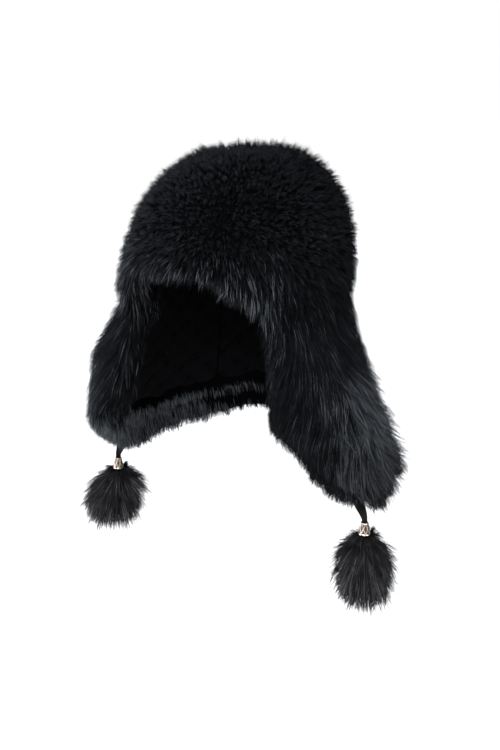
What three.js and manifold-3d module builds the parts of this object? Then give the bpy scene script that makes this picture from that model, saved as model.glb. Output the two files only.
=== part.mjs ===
// A deep-fur ushanka with its ear flaps down, in millimetres, +Z up.
// The origin is the middle of the crown's inside top, where the hat sits on a head.
// The front faces -Y and the wearer's left is +X.
// Angles go round the head in degrees: 0 is the front, 90 the wearer's left, 180 the back.
import * as THREE from 'three';
import Module from 'manifold-3d';

const wasm = await Module();
wasm.setup();

// Head opening and sewn wall
const HEAD_HALF_WIDTH = 78;
const HEAD_HALF_DEPTH = 98;
const WALL = 3;
const GAP = 0.5;
const SEAM_GAP = 0.8;
const BROW_Z = -70;
const SEAM_Z = -106;
const HEAD_ROUNDNESS = 2.2;

// Crown fur, to the tips of its dense fur
const FUR_TOP = 26;
const CROWN_HALF_WIDTH = 109;
const CROWN_HALF_DEPTH = 125;
const CROWN_ROUNDNESS = 2.5;
const CROWN_BACK_LEAN = 20;
const CROWN_FRONT_LEAN = -6;
const BROW_FUR_Z = -72;
const SEAM_FUR_Z = -120;
const BROW_FRINGE = 7;
const FRINGE_FULL_ANGLE = 18;
const FRINGE_END_ANGLE = 36;

// Flaps: where they start, end and meet the nape
const FACE_EDGE = 54;
const FLAP_END = 128;
const SEAM_ANGLE = 0.35;
const FULLEST = 0.74;
const EDGE_FUR_ANGLE = 4;
const EDGE_FUR_DROP = 10;
const EDGE_FRINGE = 8;
const FACE_FRINGE = 0.5;
const EDGE_INSIDE = 12;
const EDGE_COLUMNS = 3;
const EDGE_ROWS = 4;
const SHELL_ROWS = 8;
const FLAP_COLUMNS = 10;
const NAPE_COLUMNS = 12;

// One row for each section of the skirt, on the wearer's left, round from the face to the back.
// angle in degrees; lowZ is the wall's lower edge; flare is how far that edge stands out from the head;
// bend is the flare's exponent; furMid and furLow are the fur's depth half way down and at the edge.
const SKIRT = [
  { angle: 54, lowZ: -200, flare: 27, bend: 1.1, furMid: 25, furLow: 13 },
  { angle: 60, lowZ: -230, flare: 44, bend: 1.15, furMid: 36, furLow: 21 },
  { angle: 72, lowZ: -269, flare: 56, bend: 1.15, furMid: 43, furLow: 25 },
  { angle: 84, lowZ: -291, flare: 61, bend: 1.3, furMid: 43, furLow: 26 },
  { angle: 96, lowZ: -290, flare: 60, bend: 1.6, furMid: 37, furLow: 26 },
  { angle: 108, lowZ: -286, flare: 55, bend: 1.9, furMid: 31, furLow: 24 },
  { angle: 128, lowZ: -280, flare: 38, bend: 2.0, furMid: 26, furLow: 22 },
  { angle: 150, lowZ: -270, flare: 24, bend: 1.8, furMid: 26, furLow: 20 },
  { angle: 180, lowZ: -264, flare: 16, bend: 1.5, furMid: 26, furLow: 20 },
];

// Locks: spacing counts, and how high the fur stands where locks part, crest and end
const CROWN_LOCKS = 27;
const CROWN_ROWS = 14;
const FLAP_LOCKS = 10;
const NAPE_LOCKS = 11;
const SKIRT_ROWS = 12;
const PARTING = 0.64;
const CREST = 0.93;
const TIP = 1.03;
const CREST_ROWS = 0.45;
const TIP_ROWS = 1.55;
const UNEVEN_DEPTH = 0.05;
const UNEVEN_ROWS = 0.35;
const UNEVEN_COLUMNS = 0.3;

// Ties
const TIE_ANGLE = 84;
const TIE_X = 151;
const TIE_Y = -17;
const STRAP_WIDTH = 12;
const STRAP_TURN = 45;
const STRAP_END_WIDTH = 5;
const STRAP_THICKNESS = 1.4;
const STRAP_ROOM = 0.4;
const STRAP_END_DEPTH = 5;
const BEAD_TOP_Z = -321.5;
const BEAD_HEIGHT = 12;
const BEAD_TOP_RADIUS = 3.5;
const BEAD_BOTTOM_RADIUS = 5.6;
const BEAD_BORE_RADIUS = 2.8;
const BEAD_RIBS = 4;
const BEAD_SIDES = 10;
const BEAD_RIM = 0.5;
const BEAD_RIM_HEIGHT = 1.3;
const RIB_WIDTH = 1.1;
const RIB_DEPTH = 1.4;
const RIB_LEAN = 38;
const POMPOM_LOCKS = 9;
const POMPOM_ROWS = 8;
const POMPOM_PARTING = 0.72;
const POMPOM_TIP_ROWS = 1.1;
const POMPOMS = {
  left: { halfWidth: 30, height: 73, offsetX: 1, offsetY: 0, salt: 20 },
  right: { halfWidth: 32, height: 63, offsetX: -9, offsetY: -3, salt: 30 },
};

const RAD = Math.PI / 180;
const UP = new THREE.Vector3(0, 0, 1);
const lerp = THREE.MathUtils.lerp;
const clamp = THREE.MathUtils.clamp;
const smoothstep = THREE.MathUtils.smoothstep;

// Repeatable unevenness between -1 and 1 for the lock at column i and row j
function uneven(i, j, salt) {
  const s = Math.sin(i * 12.9898 + j * 78.233 + salt * 37.719) * 43758.5453;
  return (s - Math.floor(s)) * 2 - 1;
}

class MeshBuilder {
  constructor() {
    this.points = [];
    this.faces = [];
  }

  point(p) {
    this.points.push(p.x, p.y, p.z);
    return this.points.length / 3 - 1;
  }

  face(...corners) {
    for (let n = 2; n < corners.length; n++) this.faces.push(corners[0], corners[n - 1], corners[n]);
  }

  geometry() {
    const geometry = new THREE.BufferGeometry();
    geometry.setAttribute('position', new THREE.Float32BufferAttribute(this.points, 3));
    geometry.setIndex(this.faces);
    geometry.computeVertexNormals();
    return geometry;
  }
}

function toSolid(geometry) {
  const vertProperties = new Float32Array(geometry.attributes.position.array);
  const triVerts = new Uint32Array(geometry.index.array);
  return new wasm.Manifold(new wasm.Mesh({ numProp: 3, vertProperties, triVerts }));
}

function toGeometry(solid) {
  const mesh = solid.getMesh();
  const geometry = new THREE.BufferGeometry();
  geometry.setAttribute('position', new THREE.Float32BufferAttribute(mesh.vertProperties, 3));
  geometry.setIndex(Array.from(mesh.triVerts));
  geometry.computeVertexNormals();
  return geometry;
}

// Crown surfaces: drop is 0 at the top and 1 at the rim
function dome(angle, turn, size) {
  const drop = 1 - Math.cos(turn * Math.PI / 2) ** (2 / size.roundness);
  const spread = Math.sin(turn * Math.PI / 2) ** (2 / size.roundness);
  return new THREE.Vector3(
    size.halfWidth * spread * Math.sin(angle * RAD),
    lerp(size.leanTop, size.leanRim, drop) - size.halfDepth * spread * Math.cos(angle * RAD),
    lerp(size.top, size.rim, drop),
  );
}

// Degrees from the front, 0 to 180, on either side
function fromFront(angle) {
  return Math.abs(((angle + 180) % 360 + 360) % 360 - 180);
}

// How much of the way from the brow to the side seam, 0 to 1
function sideward(angle) {
  return smoothstep(fromFront(angle), FRINGE_FULL_ANGLE, FACE_EDGE);
}

function crownWall(angle, turn, out) {
  return dome(angle, turn, {
    roundness: HEAD_ROUNDNESS,
    halfWidth: HEAD_HALF_WIDTH + out,
    halfDepth: HEAD_HALF_DEPTH + out,
    leanTop: 0,
    leanRim: 0,
    top: out,
    rim: lerp(BROW_Z, SEAM_Z, sideward(angle)),
  });
}

function crownOutline(angle, turn) {
  return dome(angle, turn, {
    roundness: CROWN_ROUNDNESS,
    halfWidth: CROWN_HALF_WIDTH,
    halfDepth: CROWN_HALF_DEPTH,
    leanTop: CROWN_BACK_LEAN,
    leanRim: CROWN_FRONT_LEAN,
    top: FUR_TOP,
    rim: lerp(BROW_FUR_Z, SEAM_FUR_Z, sideward(angle)),
  });
}

function crownFurPoint(angle, turn, depth) {
  return crownWall(angle, turn, WALL + GAP).lerp(crownOutline(angle, turn), depth);
}

// Skirt surfaces: down is 0 at the crown's seam and 1 at the wall's lower edge
function skirtRow(angle) {
  const a = clamp(fromFront(angle), SKIRT[0].angle, 180);
  const n = Math.max(1, SKIRT.findIndex((row) => row.angle >= a));
  const before = SKIRT[n - 1];
  const after = SKIRT[n];
  const part = (a - before.angle) / (after.angle - before.angle);
  const row = {};
  for (const key of Object.keys(before)) row[key] = lerp(before[key], after[key], part);
  return row;
}

function skirtWall(angle, down) {
  const row = skirtRow(angle);
  const out = row.flare * Math.max(down, 0) ** row.bend;
  const middle = WALL / 2 + out;
  return new THREE.Vector3(
    (HEAD_HALF_WIDTH + middle) * Math.sin(angle * RAD),
    -(HEAD_HALF_DEPTH + middle) * Math.cos(angle * RAD),
    lerp(SEAM_Z - GAP, row.lowZ, down),
  );
}

// Wide steps even out the wall's direction where two rows of the table meet.
function skirtNormal(angle, down) {
  const turn = 6;
  const step = 0.06;
  const along = skirtWall(angle + turn, down).sub(skirtWall(angle - turn, down));
  const fall = skirtWall(angle, down + step).sub(skirtWall(angle, down - step));
  return fall.cross(along).normalize();
}

// A point off the wall: level at the seam, so that flap and crown don't meet, and square to the wall below
function skirtPoint(angle, down, out) {
  const level = new THREE.Vector3(Math.sin(angle * RAD), -Math.cos(angle * RAD), 0);
  const off = level.lerp(skirtNormal(angle, down), smoothstep(down, 0, 0.4)).normalize();
  return skirtWall(angle, down).addScaledVector(off, out);
}

// The fur's depth outside the wall swells from the seam to its fullest and thins to the edge.
function skirtFurDepth(angle, down) {
  const row = skirtRow(angle);
  const seam = CROWN_HALF_WIDTH - HEAD_HALF_WIDTH - WALL;
  if (down < FULLEST) return lerp(seam, row.furMid, smoothstep(down, 0, FULLEST));
  return lerp(row.furMid, row.furLow, smoothstep(down, FULLEST, 1.05));
}

// A point in the skirt's fur. Its top edge follows the underside of the crown's fur.
function skirtFurPoint(angle, down, depth, thinning) {
  const deep = skirtFurDepth(angle, down) * thinning;
  const seam = crownFurPoint(angle, 1, depth);
  seam.z -= SEAM_GAP;
  const low = skirtPoint(angle, down, WALL / 2 + GAP + deep * depth);
  low.z -= (SEAM_Z - SEAM_FUR_Z) * depth * (1 - smoothstep(down, 0, 0.5));
  return seam.lerp(low, smoothstep(down, 0, 0.3));
}

// A closed body between two grids of points. Columns run round the head and rows run down.
function gridBody({ columns, rows, closed, outside, inside }) {
  const mesh = new MeshBuilder();
  const count = closed ? columns : columns + 1;
  const outer = [];
  const inner = [];
  for (let j = 0; j <= rows; j++) {
    outer.push([]);
    inner.push([]);
    for (let i = 0; i < count; i++) {
      outer[j].push(mesh.point(outside(i, j)));
      inner[j].push(mesh.point(inside(i, j)));
    }
  }
  for (let j = 0; j < rows; j++) {
    for (let i = 0; i < columns; i++) {
      const n = (i + 1) % count;
      mesh.face(outer[j][i], outer[j + 1][i], outer[j + 1][n], outer[j][n]);
      mesh.face(inner[j][i], inner[j][n], inner[j + 1][n], inner[j + 1][i]);
    }
  }
  for (let i = 0; i < columns; i++) {
    const n = (i + 1) % count;
    mesh.face(outer[rows][n], outer[rows][i], inner[rows][i], inner[rows][n]);
    if (!closed) mesh.face(outer[0][i], outer[0][n], inner[0][n], inner[0][i]);
  }
  if (closed) {
    const top = mesh.point(outside(0, -1));
    const under = mesh.point(inside(0, -1));
    for (let i = 0; i < columns; i++) {
      const n = (i + 1) % count;
      mesh.face(top, outer[0][i], outer[0][n]);
      mesh.face(under, inner[0][n], inner[0][i]);
    }
  } else {
    for (let j = 0; j < rows; j++) {
      mesh.face(outer[j + 1][0], outer[j][0], inner[j][0], inner[j + 1][0]);
      mesh.face(outer[j + 1][columns], inner[j + 1][columns], inner[j][columns], outer[j][columns]);
    }
  }
  return mesh.geometry();
}

// A closed fur body. Its outside is a diamond grid, and each diamond rises to one lock: a crest in its
// middle and a tip that lies over the lock below. Points sit where column + row is even, locks where
// it is odd. Its inside is a plain grid of half as many columns and rows, or two poles where it has none.
function furBody({ locks, rows, closed, base, crest, tip, inside, topPole, bottomPole, innerPole }) {
  const mesh = new MeshBuilder();
  const columns = locks * 2;
  const wrap = (i) => (closed ? (i + columns) % columns : i);
  const at = new Map();
  const key = (i, j) => `${wrap(i)},${j}`;
  const corner = (i, j) => at.get(key(i, j));
  const last = closed ? columns - 1 : columns;
  for (let j = 0; j <= rows; j++) {
    for (let i = 0; i <= last; i++) {
      if ((i + j) % 2 === 0) at.set(key(i, j), mesh.point(base(i, j)));
    }
  }
  for (let j = 0; j <= rows; j++) {
    for (let i = 0; i <= last; i++) {
      if ((i + j) % 2 === 0) continue;
      const above = j > 0 ? corner(i, j - 1) : null;
      const below = j < rows ? corner(i, j + 1) : null;
      const left = closed || i > 0 ? corner(i - 1, j) : null;
      const right = closed || i < columns ? corner(i + 1, j) : null;
      const end = mesh.point(tip(i, j));
      if (above !== null && below !== null && left !== null && right !== null) {
        const top = mesh.point(crest(i, j));
        mesh.face(above, left, top);
        mesh.face(left, end, top);
        mesh.face(left, below, end);
        mesh.face(below, right, end);
        mesh.face(right, above, top);
        mesh.face(right, top, end);
      } else {
        const ring = [above, left, below, right].filter((p) => p !== null);
        for (let n = 0; n < ring.length; n++) mesh.face(ring[n], ring[(n + 1) % ring.length], end);
      }
    }
  }
  if (topPole) {
    const pole = mesh.point(topPole);
    for (let i = 0; i < columns; i += 2) mesh.face(pole, corner(i, 0), corner(i + 2, 0));
  }
  if (bottomPole) {
    const pole = mesh.point(bottomPole);
    for (let i = 0; i < columns; i += 2) mesh.face(corner(i, rows), pole, corner(i + 2, rows));
  }
  if (!inside) return mesh.geometry();

  const back = new Map();
  const behind = (i, j) => back.get(key(i, j));
  for (let j = 0; j <= rows; j += 2) {
    for (let i = 0; i <= last; i += 2) back.set(key(i, j), mesh.point(inside(i, j)));
  }
  for (let i = 0; i < columns; i += 2) {
    for (let j = 0; j < rows; j += 2) {
      mesh.face(behind(i, j), behind(i + 2, j), behind(i + 2, j + 2), behind(i, j + 2));
    }
    mesh.face(corner(i + 2, rows), corner(i, rows), behind(i, rows), behind(i + 2, rows));
    if (!closed) mesh.face(corner(i, 0), corner(i + 2, 0), behind(i + 2, 0), behind(i, 0));
  }
  if (closed) {
    const pole = mesh.point(innerPole);
    for (let i = 0; i < columns; i += 2) mesh.face(pole, behind(i + 2, 0), behind(i, 0));
  } else {
    for (let j = 0; j < rows; j += 2) {
      mesh.face(corner(0, j + 2), corner(0, j), behind(0, j), behind(0, j + 2));
      mesh.face(corner(columns, j + 2), behind(columns, j + 2), behind(columns, j), corner(columns, j));
    }
  }
  return mesh.geometry();
}

// Rows of the crown start a little below its top, and the last row is the hem.
const crownTurn = (j) => (j < 0 ? 0 : lerp(0.1, 1, j / CROWN_ROWS));
const crownAngle = (i) => i * 180 / CROWN_LOCKS;

// The wall has half the fur's columns and rows, so that the two stay a gap apart all over.
function crownShell() {
  return gridBody({
    columns: CROWN_LOCKS,
    rows: CROWN_ROWS / 2,
    closed: true,
    outside: (i, j) => crownWall(crownAngle(i * 2), crownTurn(j * 2), WALL),
    inside: (i, j) => crownWall(crownAngle(i * 2), crownTurn(j * 2), 0),
  });
}

function crownFur() {
  return furBody({
    locks: CROWN_LOCKS,
    rows: CROWN_ROWS,
    closed: true,
    base: (i, j) => crownFurPoint(crownAngle(i), crownTurn(j), PARTING),
    crest: (i, j) => crownFurPoint(
      crownAngle(i + uneven(i, j, 1) * UNEVEN_COLUMNS / 2),
      crownTurn(j + CREST_ROWS),
      CREST + uneven(i, j, 2) * UNEVEN_DEPTH,
    ),
    tip: (i, j) => {
      const room = Math.max(0, CROWN_ROWS - j - UNEVEN_ROWS);
      const rowsDown = Math.min(TIP_ROWS + uneven(i, j, 3) * UNEVEN_ROWS, room);
      const angle = crownAngle(i + uneven(i, j, 4) * UNEVEN_COLUMNS);
      const p = crownFurPoint(angle, crownTurn(j + rowsDown), TIP + uneven(i, j, 5) * UNEVEN_DEPTH);
      const front = 1 - smoothstep(fromFront(angle), FRINGE_FULL_ANGLE, FRINGE_END_ANGLE);
      if (j === CROWN_ROWS) p.z -= BROW_FRINGE * front * (1 + uneven(i, j, 6) * 0.3);
      return p;
    },
    inside: (i, j) => crownFurPoint(crownAngle(i), crownTurn(j), 0),
    topPole: crownFurPoint(0, 0, 1),
    innerPole: crownFurPoint(0, 0, 0),
  });
}

// One flap or the nape, between two angles. Its walls share the crown's seam.
function skirtShell(from, to, columns) {
  const rows = SHELL_ROWS;
  const angle = (i) => lerp(from, to, i / columns);
  return gridBody({
    columns,
    rows,
    closed: false,
    outside: (i, j) => skirtPoint(angle(i), j / rows, WALL / 2),
    inside: (i, j) => skirtPoint(angle(i), j / rows, -WALL / 2),
  });
}

// The fur's grid goes past the wall at a free edge, and its locks hang past that.
function skirtFur({ from, to, freeFrom, freeTo, locks, pockets }) {
  const rows = SKIRT_ROWS;
  const columns = locks * 2;
  const start = freeFrom ? from - EDGE_FUR_ANGLE : from;
  const end = freeTo ? to + EDGE_FUR_ANGLE : to;
  const angle = (i) => lerp(start, end, i / columns);
  const down = (a, j) => {
    const length = SEAM_Z - skirtRow(a).lowZ;
    return j / rows * (1 + EDGE_FUR_DROP / length);
  };
  const nearFree = (i) => Math.max(
    freeFrom ? 1 - smoothstep(i, 0, EDGE_COLUMNS) : 0,
    freeTo ? 1 - smoothstep(columns - i, 0, EDGE_COLUMNS) : 0,
  );
  const place = (i, j, depth) => {
    const a = angle(i);
    return skirtFurPoint(a, down(a, j), depth, 1 - 0.4 * nearFree(i));
  };
  const body = furBody({
    locks,
    rows,
    closed: false,
    base: (i, j) => place(i, j, PARTING),
    crest: (i, j) => place(
      i + uneven(i, j, 7) * UNEVEN_COLUMNS / 2,
      j + CREST_ROWS,
      CREST + uneven(i, j, 8) * UNEVEN_DEPTH,
    ),
    tip: (i, j) => {
      const inward = i === 0 ? UNEVEN_COLUMNS : i === columns ? -UNEVEN_COLUMNS : 0;
      const atSeam = (i <= 1 && !freeFrom) || (i >= columns - 1 && !freeTo);
      const across = atSeam ? inward : uneven(i, j, 9) * UNEVEN_COLUMNS;
      const p = place(
        i + across,
        j + Math.min(TIP_ROWS + uneven(i, j, 10) * UNEVEN_ROWS, rows - j + UNEVEN_ROWS),
        (j === rows ? CREST : TIP) + uneven(i, j, 11) * UNEVEN_DEPTH,
      );
      if (j === rows) p.z -= EDGE_FRINGE * (1 + uneven(i, j, 12) * 0.3);
      const atFace = (i === 0 && freeFrom) || (i === columns && freeTo);
      if (atFace) p.add(new THREE.Vector3(0, -EDGE_FRINGE * FACE_FRINGE, -EDGE_FRINGE * FACE_FRINGE));
      return p;
    },
    inside: (i, j) => {
      const a = angle(i);
      const edge = Math.max(nearFree(i), smoothstep(j, rows - EDGE_ROWS, rows));
      return skirtPoint(a, down(a, j), -EDGE_INSIDE * edge);
    },
  });
  let solid = toSolid(body);
  for (const pocket of pockets) solid = solid.subtract(toSolid(pocket));
  return toGeometry(solid);
}

// The room that a wall takes in its fur: the wall's own grid, a gap thicker, and one row or column
// more all round, which opens it at the seams
function skirtPocket({ from, to, freeFrom, freeTo, columns }) {
  const rows = SHELL_ROWS;
  const angle = (i) => {
    if (i === 0) return from - (freeFrom ? 0.5 : 3);
    if (i === columns + 2) return to + (freeTo ? 0.5 : 3);
    return lerp(from, to, (i - 1) / columns);
  };
  const down = (a, j) => {
    if (j === 0) return -0.06;
    if (j === rows + 2) return 1 + GAP * 1.4 / (SEAM_Z - skirtRow(a).lowZ);
    return (j - 1) / rows;
  };
  return gridBody({
    columns: columns + 2,
    rows: rows + 2,
    closed: false,
    outside: (i, j) => skirtPoint(angle(i), down(angle(i), j), WALL / 2 + GAP),
    inside: (i, j) => skirtPoint(angle(i), down(angle(i), j), -WALL / 2 - GAP),
  });
}

// A strap hangs from the wall's lower edge, runs through the bead and ends in the pompom.
function strapRoute(side) {
  const top = skirtWall(TIE_ANGLE, 1);
  top.z -= 1;
  const end = new THREE.Vector3(TIE_X, TIE_Y, BEAD_TOP_Z - BEAD_HEIGHT - STRAP_END_DEPTH);
  const beadTop = new THREE.Vector3(TIE_X, TIE_Y, BEAD_TOP_Z);
  const stations = [
    { at: top, width: STRAP_WIDTH },
    { at: top.clone().lerp(beadTop, 0.45), width: STRAP_WIDTH * 0.92 },
    { at: new THREE.Vector3(TIE_X - 1, TIE_Y, BEAD_TOP_Z + 6), width: STRAP_WIDTH * 0.6 },
    { at: new THREE.Vector3(TIE_X, TIE_Y, BEAD_TOP_Z + 1), width: STRAP_END_WIDTH },
    { at: end, width: STRAP_END_WIDTH },
  ];
  return stations.map(({ at, width }) => ({ at: new THREE.Vector3(side * at.x, at.y, at.z), width }));
}

// A flat strap. Both straps' broad sides are turned to the wearer's left front. grow makes the room
// that a strap takes.
function strap(side, grow) {
  const route = strapRoute(side);
  const mesh = new MeshBuilder();
  const rings = route.map(({ at, width }, n) => {
    const x = STRAP_THICKNESS / 2 + grow;
    const y = width / 2 + grow;
    const endRoom = n === 0 ? grow : n === route.length - 1 ? -grow : 0;
    return [[-x, -y], [x, -y], [x, y], [-x, y]].map(([dx, dy]) => mesh.point(
      new THREE.Vector3(dx, dy, endRoom).applyAxisAngle(UP, -STRAP_TURN * RAD).add(at),
    ));
  });
  for (let n = 1; n < rings.length; n++) {
    for (let c = 0; c < 4; c++) {
      const d = (c + 1) % 4;
      mesh.face(rings[n - 1][c], rings[n][c], rings[n][d], rings[n - 1][d]);
    }
  }
  const first = rings[0];
  const final = rings[rings.length - 1];
  mesh.face(first[0], first[1], first[2], first[3]);
  mesh.face(final[3], final[2], final[1], final[0]);
  return mesh.geometry();
}

// A cast cone with a rolled rim at each end and slanted ribs between them
function bead() {
  const topRim = BEAD_TOP_RADIUS + BEAD_RIM;
  const bottomRim = BEAD_BOTTOM_RADIUS + BEAD_RIM;
  let solid = beadRound([
    [topRim, 0],
    [topRim, -BEAD_RIM_HEIGHT],
    [BEAD_TOP_RADIUS, -BEAD_RIM_HEIGHT - BEAD_RIM],
    [BEAD_BOTTOM_RADIUS - BEAD_RIM, BEAD_RIM_HEIGHT + BEAD_RIM - BEAD_HEIGHT],
    [bottomRim, BEAD_RIM_HEIGHT - BEAD_HEIGHT],
    [bottomRim, -BEAD_HEIGHT],
  ]);
  const slope = Math.atan2(BEAD_BOTTOM_RADIUS - BEAD_TOP_RADIUS, BEAD_HEIGHT);
  const middle = (BEAD_TOP_RADIUS + BEAD_BOTTOM_RADIUS) / 2;
  for (let n = 0; n < BEAD_RIBS * 2; n++) {
    const rib = new THREE.BoxGeometry(RIB_WIDTH, RIB_DEPTH, BEAD_HEIGHT - BEAD_RIM_HEIGHT * 2);
    rib.rotateY((n % 2 ? RIB_LEAN : -RIB_LEAN) * RAD);
    rib.rotateX(-slope);
    rib.translate(0, -middle, -BEAD_HEIGHT / 2);
    rib.rotateZ(Math.floor(n / 2) * 360 / BEAD_RIBS * RAD);
    solid = solid.add(mergedSolid(rib));
  }
  return toGeometry(solid.intersect(beadRound([[topRim, 0], [bottomRim, -BEAD_HEIGHT]])));
}

// A turned body round the bead's bore, from the radius and height of each point of its outside
function beadRound(outside) {
  const bore = [[BEAD_BORE_RADIUS, -BEAD_HEIGHT], [BEAD_BORE_RADIUS, 0]];
  const profile = [bore[1], ...outside, ...bore].reverse().map(([r, z]) => new THREE.Vector2(r, z));
  const geometry = new THREE.LatheGeometry(profile, BEAD_SIDES);
  geometry.rotateX(Math.PI / 2);
  return mergedSolid(geometry);
}

// Joins the doubled vertices of a three.js geometry, so that it closes.
function mergedSolid(geometry) {
  const source = geometry.index ? geometry.toNonIndexed() : geometry;
  const position = source.attributes.position;
  const mesh = new MeshBuilder();
  const seen = new Map();
  const ids = [];
  for (let n = 0; n < position.count; n++) {
    const p = new THREE.Vector3().fromBufferAttribute(position, n);
    const name = [p.x, p.y, p.z].map((c) => Math.round(c * 1e4)).join(',');
    if (!seen.has(name)) seen.set(name, mesh.point(p));
    ids.push(seen.get(name));
  }
  for (let n = 0; n < ids.length; n += 3) {
    const [a, b, c] = ids.slice(n, n + 3);
    if (a !== b && b !== c && c !== a) mesh.face(a, b, c);
  }
  return toSolid(mesh.geometry());
}

// A pompom: locks round a soft head, fullest below its middle
function pompom(side, { halfWidth, height, offsetX, offsetY, salt }) {
  const top = BEAD_TOP_Z - BEAD_HEIGHT - GAP;
  const sway = (turn) => Math.sin(turn / 2);
  const place = (i, j, depth) => {
    const angle = i * 180 / POMPOM_LOCKS * RAD;
    const turn = lerp(0.1, 0.93, j / POMPOM_ROWS) * Math.PI;
    const radius = halfWidth * depth * Math.sin(turn) ** 0.68 * (1 - 0.16 * Math.cos(turn));
    return new THREE.Vector3(
      side * TIE_X + offsetX * sway(turn) + radius * Math.sin(angle),
      TIE_Y + offsetY * sway(turn) - radius * Math.cos(angle),
      top - height / 2 + height / 2 * Math.cos(turn) * lerp(0.6, 1, depth),
    );
  };
  const body = furBody({
    locks: POMPOM_LOCKS,
    rows: POMPOM_ROWS,
    closed: true,
    base: (i, j) => place(i, j, POMPOM_PARTING),
    crest: (i, j) => place(i, j + CREST_ROWS, CREST + uneven(i, j, salt) * UNEVEN_DEPTH),
    tip: (i, j) => place(
      i + uneven(i, j, salt + 1) * UNEVEN_COLUMNS,
      Math.min(j + POMPOM_TIP_ROWS + uneven(i, j, salt + 2) * UNEVEN_ROWS, POMPOM_ROWS + 0.5),
      1 + uneven(i, j, salt + 3) * UNEVEN_DEPTH,
    ),
    topPole: new THREE.Vector3(side * TIE_X, TIE_Y, top),
    bottomPole: new THREE.Vector3(side * TIE_X + offsetX, TIE_Y + offsetY, top - height * 0.9),
  });
  return toGeometry(toSolid(body).subtract(toSolid(strap(side, STRAP_ROOM))));
}

const FUR_BLACK = new THREE.MeshStandardMaterial({ color: 0x121318, roughness: 0.75, metalness: 0 });
const LINING_BLACK = new THREE.MeshStandardMaterial({ color: 0x17161a, roughness: 0.9, metalness: 0 });
const LEATHER = new THREE.MeshStandardMaterial({ color: 0x1a1412, roughness: 0.5, metalness: 0 });
const CAST_METAL = new THREE.MeshStandardMaterial({ color: 0xb7ab97, roughness: 0.35, metalness: 1 });

const hat = new THREE.Group();

function addPiece(name, geometry, material) {
  const mesh = new THREE.Mesh(geometry, material.clone());
  mesh.name = name;
  hat.add(mesh);
  return mesh;
}

addPiece('crown_shell', crownShell(), LINING_BLACK);
addPiece('crown_fur', crownFur(), FUR_BLACK);

// The wearer's left flap runs from the face to the nape, and the right one from the nape to the face.
const flapGrid = { locks: FLAP_LOCKS, columns: FLAP_COLUMNS };
const flaps = {
  left: { from: FACE_EDGE, to: FLAP_END - SEAM_ANGLE, freeFrom: true, freeTo: false, ...flapGrid },
  right: {
    from: 360 - FLAP_END + SEAM_ANGLE,
    to: 360 - FACE_EDGE,
    freeFrom: false,
    freeTo: true,
    ...flapGrid,
  },
};
for (const [sideName, flap] of Object.entries(flaps)) {
  const side = sideName === 'left' ? 1 : -1;
  addPiece(`ear_flap_${sideName}_shell`, skirtShell(flap.from, flap.to, flap.columns), LINING_BLACK);
  const pockets = [skirtPocket(flap), strap(side, STRAP_ROOM)];
  addPiece(`ear_flap_${sideName}_fur`, skirtFur({ ...flap, pockets }), FUR_BLACK);
  addPiece(`tie_strap_${sideName}`, strap(side, 0), LEATHER);
  const cone = addPiece(`bead_${sideName}`, bead(), CAST_METAL);
  cone.position.set(side * TIE_X, TIE_Y, BEAD_TOP_Z);
  addPiece(`pompom_${sideName}`, pompom(side, POMPOMS[sideName]), FUR_BLACK);
}

const nape = {
  from: FLAP_END + SEAM_ANGLE,
  to: 360 - FLAP_END - SEAM_ANGLE,
  freeFrom: false,
  freeTo: false,
  locks: NAPE_LOCKS,
  columns: NAPE_COLUMNS,
};
addPiece('nape_shell', skirtShell(nape.from, nape.to, nape.columns), LINING_BLACK);
addPiece('nape_fur', skirtFur({ ...nape, pockets: [skirtPocket(nape)] }), FUR_BLACK);

export default hat;
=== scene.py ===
# %% [markdown]
# A deep-fur ushanka in its worn shape, with the ear flaps down.
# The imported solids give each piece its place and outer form. This lesson dresses them: a dark pelt
# under tens of thousands of separate hairs, a quilted lining, leather ties, cast beads and pompoms.

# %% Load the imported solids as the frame
import math

import bmesh
import bpy
import numpy as np
from mathutils import Matrix, Vector
from mathutils.bvhtree import BVHTree
from mathutils.kdtree import KDTree


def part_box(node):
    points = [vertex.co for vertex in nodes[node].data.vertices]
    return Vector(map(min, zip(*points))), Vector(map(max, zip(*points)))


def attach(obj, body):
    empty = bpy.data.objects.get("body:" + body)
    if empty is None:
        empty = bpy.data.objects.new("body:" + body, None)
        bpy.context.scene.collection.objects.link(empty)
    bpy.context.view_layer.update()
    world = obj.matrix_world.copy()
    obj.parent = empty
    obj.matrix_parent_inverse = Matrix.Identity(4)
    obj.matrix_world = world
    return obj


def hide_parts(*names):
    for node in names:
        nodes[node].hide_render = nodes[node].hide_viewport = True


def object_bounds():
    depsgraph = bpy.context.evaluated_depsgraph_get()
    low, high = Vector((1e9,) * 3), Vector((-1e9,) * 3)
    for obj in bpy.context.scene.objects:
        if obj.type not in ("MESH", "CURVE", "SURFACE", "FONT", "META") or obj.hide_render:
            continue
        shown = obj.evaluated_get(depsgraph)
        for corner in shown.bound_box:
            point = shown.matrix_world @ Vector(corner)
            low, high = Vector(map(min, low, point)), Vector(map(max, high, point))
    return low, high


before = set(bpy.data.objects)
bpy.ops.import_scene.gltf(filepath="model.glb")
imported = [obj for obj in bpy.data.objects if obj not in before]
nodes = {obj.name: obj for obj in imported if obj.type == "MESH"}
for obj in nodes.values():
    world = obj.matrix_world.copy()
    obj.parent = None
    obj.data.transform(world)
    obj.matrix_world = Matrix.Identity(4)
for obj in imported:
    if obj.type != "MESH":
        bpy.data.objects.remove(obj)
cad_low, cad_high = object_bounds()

print("solids:", sorted(nodes))
print("size in m:", [round(x, 3) for x in cad_high - cad_low])

# %% [markdown]
# The camera stands a metre away, a little to the wearer's left of the front, and just above the
# crown. A wide lens from nearer would swell the near flap, so it is a 50 mm lens on a full frame.

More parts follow.
